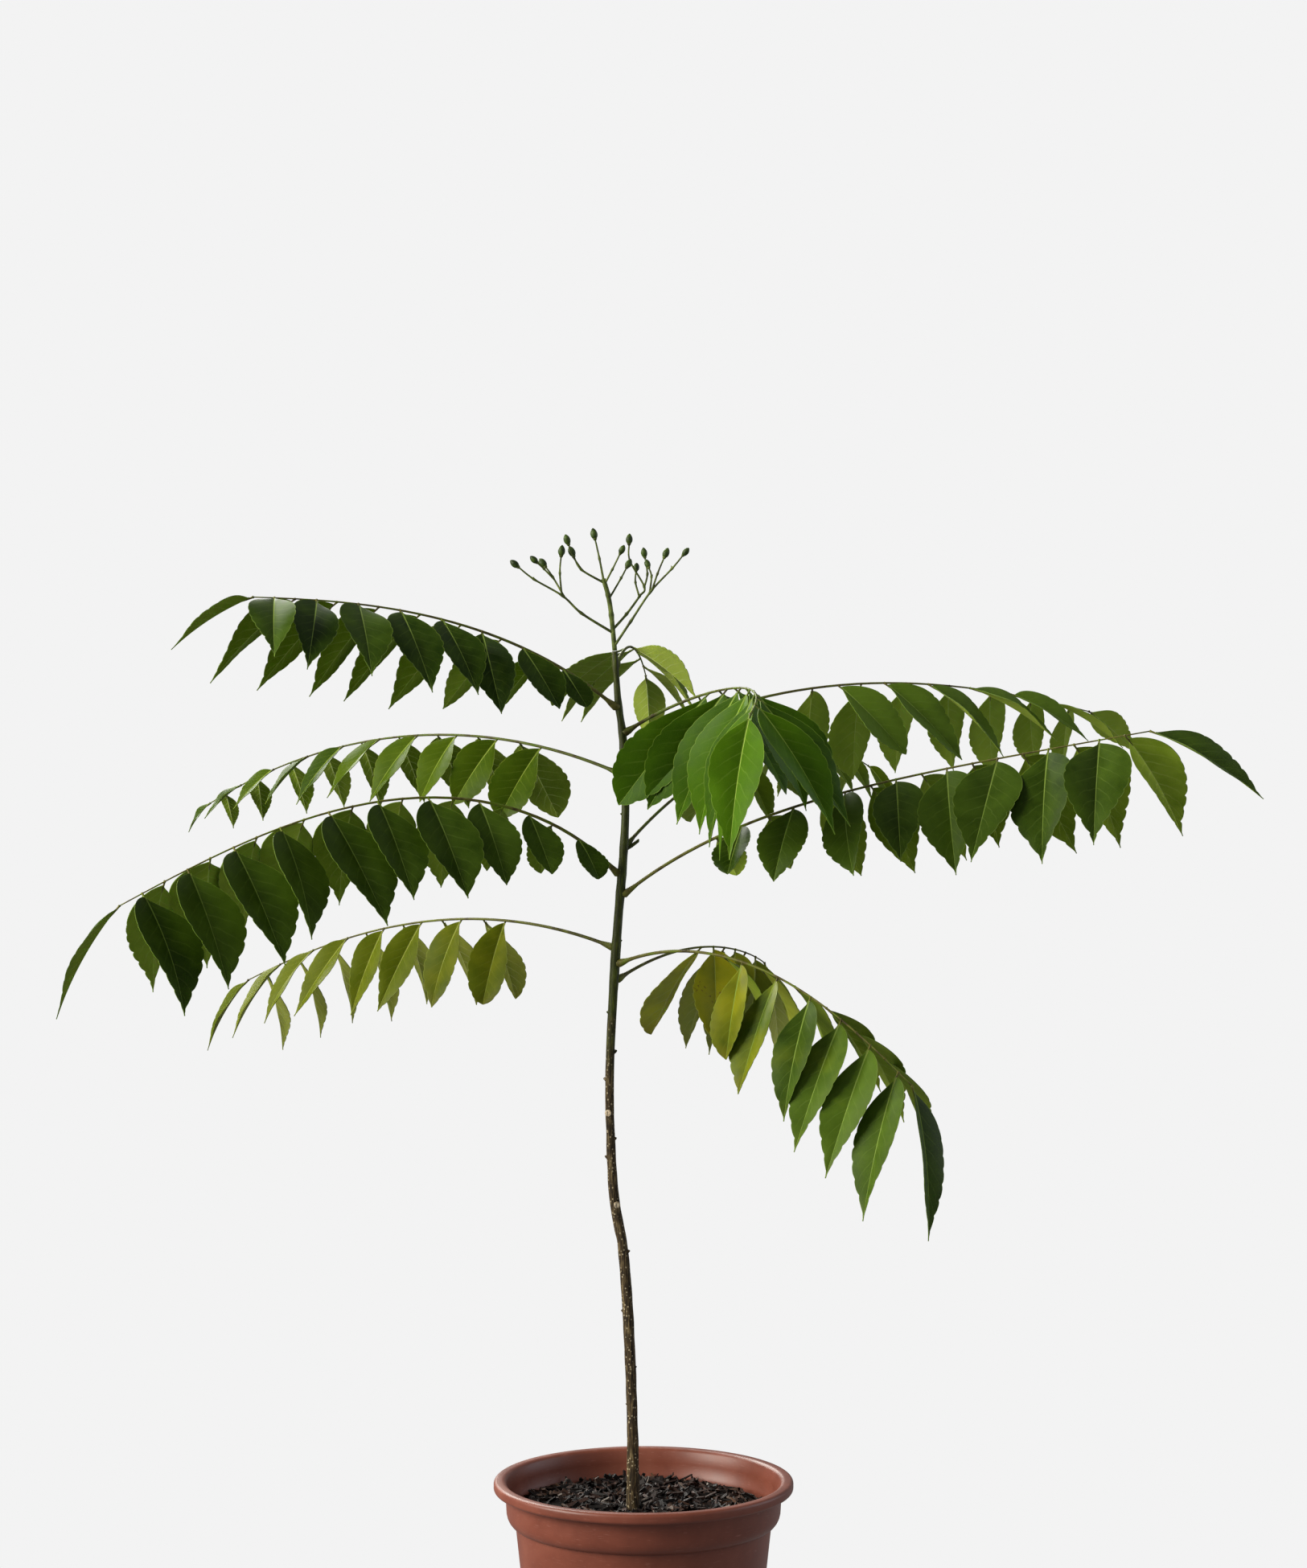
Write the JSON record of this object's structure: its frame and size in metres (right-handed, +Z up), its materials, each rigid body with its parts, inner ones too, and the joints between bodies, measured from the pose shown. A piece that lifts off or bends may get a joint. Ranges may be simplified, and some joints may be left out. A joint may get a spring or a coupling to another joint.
{
  "type": "potted curry leaf plant",
  "caption": "Young curry leaf plant in a round plastic nursery pot: a slender woody stem with drooping pinnate fronds of pointed leaflets and a loose head of flower buds.",
  "frame": {"origin": "centre of the pot's flat underside", "axes": "+Z up along the pot's axis, +X to the right of the view that shows the fan of fronds, +Y to the back, across the thinner way of the crown"},
  "size_m": [0.4941, 0.2911, 0.5276],
  "materials": {
    "pot_plastic": "satin",
    "bark_soil": "matte",
    "stem_bark": "matte",
    "leaf": "satin",
    "leaf_bright": "satin",
    "leaf_pale": "satin",
    "leaf_yellowing": "satin",
    "flower_buds": "matte"
  },
  "bodies": {
    "root": {"pot": "pot_plastic", "soil": "bark_soil", "stem": "stem_bark", "frond_top_left": "leaf", "frond_top_back": "leaf_pale", "frond_upper_left": "leaf_pale", "frond_middle_left": "leaf", "frond_lower_left": "leaf_yellowing", "frond_lower_right": "leaf", "frond_lower_back": "leaf_yellowing", "frond_upper_right": "leaf", "frond_middle_right": "leaf", "frond_front": "leaf_bright", "frond_young_back": "leaf_pale", "flower_head": "flower_buds"}
  },
  "joints": []
}
